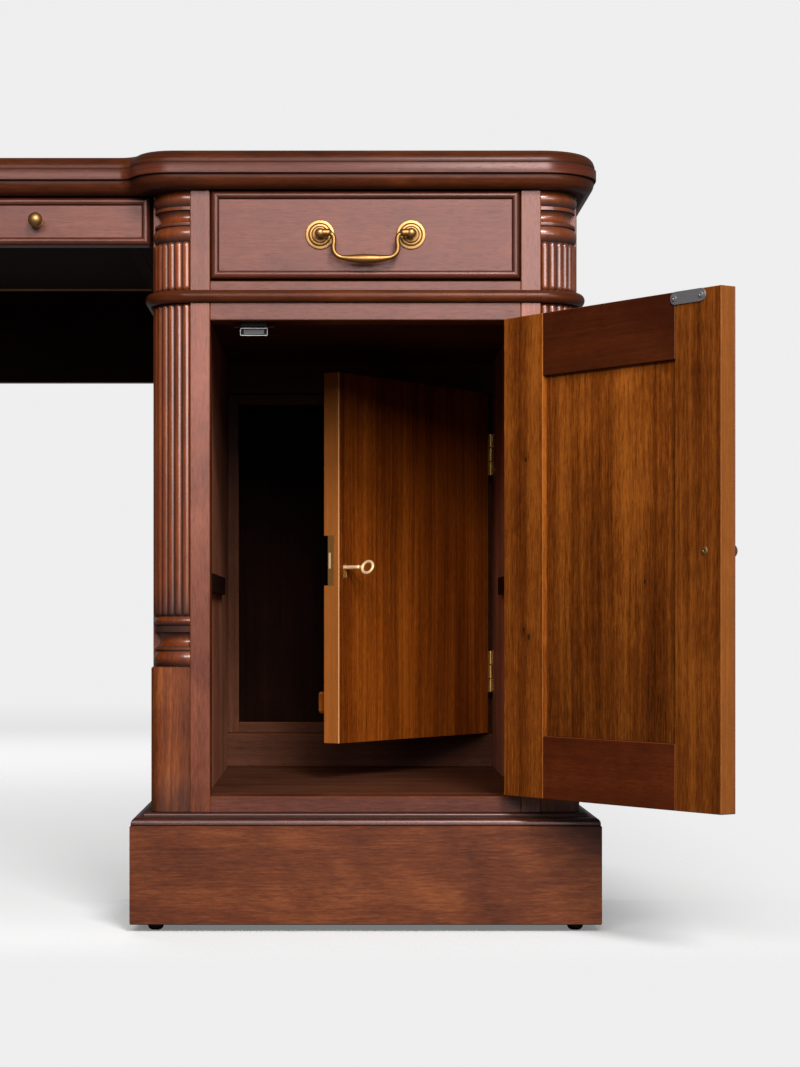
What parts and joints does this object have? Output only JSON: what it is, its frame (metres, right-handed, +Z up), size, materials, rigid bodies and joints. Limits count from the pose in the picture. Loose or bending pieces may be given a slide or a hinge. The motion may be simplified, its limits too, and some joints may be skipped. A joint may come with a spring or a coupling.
{
  "type": "pedestal desk",
  "caption": "Wooden pedestal desk with a set-back kneehole, reeded corner columns, drawers on runners, hinged cupboard doors and a locking inner door.",
  "frame": {"origin": "on the floor, under the middle of the desk top", "axes": "+X to the sitter's right along the desk, +Y to the back, +Z up; drawers open towards -Y"},
  "size_m": [1.6234, 1.012, 0.778],
  "materials": {
    "polished_wood": "satin",
    "inside_wood": "satin",
    "drawer_wood": "matte",
    "brass": "polished",
    "nickel": "satin",
    "glide": "matte"
  },
  "bodies": {
    "desk": {"desk_top": "polished_wood", "top_frame_moulding": "polished_wood", "right_plinth": "polished_wood", "left_plinth": "polished_wood", "plinth_caps": "polished_wood", "glides": "glide", "cupboard_floors": "inside_wood", "face_stiles": "polished_wood", "face_rails": "polished_wood", "side_stiles": "polished_wood", "side_rails": "polished_wood", "side_panels": "polished_wood", "linings": "inside_wood", "back_panels": "inside_wood", "right_columns": "polished_wood", "left_columns": "polished_wood", "base_blocks": "polished_wood", "waist_mouldings": "polished_wood", "dust_boards": "inside_wood", "drawer_runners": "inside_wood", "magnetic_catches": "nickel", "door_frame_hinges": "brass", "shelf_cleats": "inside_wood", "left_shelf": "inside_wood", "inner_rails": "inside_wood", "inner_stop_frame": "inside_wood", "inner_frame_hinges": "brass", "kneehole_apron": "polished_wood", "centre_drawer_runners": "inside_wood"},
    "inner_door": {"inner_door": "inside_wood", "inner_door_lock": "brass", "inner_door_keyhole": "brass", "inner_door_hinges": "brass", "inner_door_block": "inside_wood"},
    "inner_key": {"inner_door_key": "brass"},
    "inner_bolt": {"inner_door_bolt": "brass"},
    "centre_drawer": {"centre_drawer_front": "polished_wood", "centre_drawer_box": "drawer_wood", "centre_drawer_bottom": "drawer_wood", "centre_drawer_knobs": "brass"},
    "right_door": {"right_door_frame": "polished_wood", "right_door_panel": "polished_wood", "right_door_knob": "brass", "right_door_strike": "nickel", "right_door_hinges": "brass"},
    "right_drawer": {"right_drawer_front": "polished_wood", "right_drawer_box": "drawer_wood", "right_drawer_bottom": "drawer_wood", "right_drawer_posts": "brass"},
    "right_bail": {"right_drawer_bail": "brass"},
    "left_door": {"left_door_frame": "polished_wood", "left_door_panel": "polished_wood", "left_door_knob": "brass", "left_door_strike": "nickel", "left_door_hinges": "brass"},
    "left_drawer": {"left_drawer_front": "polished_wood", "left_drawer_box": "drawer_wood", "left_drawer_bottom": "drawer_wood", "left_drawer_posts": "brass"},
    "left_bail": {"left_drawer_bail": "brass"}
  },
  "joints": [
    {"name": "right_door_swing", "type": "hinge", "parent": "desk", "child": "right_door", "pos_m": [0.6819, -0.3655, 0.37245], "axis": [0, 0, 1], "range_deg": [-125, 50]},
    {"name": "left_door_swing", "type": "hinge", "parent": "desk", "child": "left_door", "pos_m": [-0.6819, -0.3655, 0.37245], "axis": [0, 0, -1], "range_deg": [0, 175]},
    {"name": "inner_door_swing", "type": "hinge", "parent": "desk", "child": "inner_door", "pos_m": [0.6847, 0.1445, 0.3785], "axis": [0, 0, 1], "range_deg": [-55, 28]},
    {"name": "key_turn", "type": "hinge", "parent": "inner_door", "child": "inner_key", "pos_m": [0.50833, -0.10215, 0.368], "axis": [-0.8192, 0.5736, 0], "range_deg": [0, 180]},
    {"name": "bolt_slide", "type": "slide", "parent": "inner_door", "child": "inner_bolt", "axis": [-0.5736, -0.8192, 0], "range_m": [0, 0.008]},
    {"name": "right_drawer_slide", "type": "slide", "parent": "desk", "child": "right_drawer", "axis": [0, -1, 0], "range_m": [0, 0.32]},
    {"name": "right_bail_swing", "type": "hinge", "parent": "right_drawer", "child": "right_bail", "pos_m": [0.5275, -0.3745, 0.69525], "axis": [-1, 0, 0], "range_deg": [0, 85]},
    {"name": "left_drawer_slide", "type": "slide", "parent": "desk", "child": "left_drawer", "axis": [0, -1, 0], "range_m": [0, 0.32]},
    {"name": "left_bail_swing", "type": "hinge", "parent": "left_drawer", "child": "left_bail", "pos_m": [-0.5275, -0.3745, 0.69525], "axis": [-1, 0, 0], "range_deg": [0, 85]},
    {"name": "centre_drawer_slide", "type": "slide", "parent": "desk", "child": "centre_drawer", "axis": [0, -1, 0], "range_m": [0, 0.3]}
  ],
  "couplings": [
    {"joint": "key_turn", "follows": "bolt_slide", "rad_per_m": 372}
  ]
}
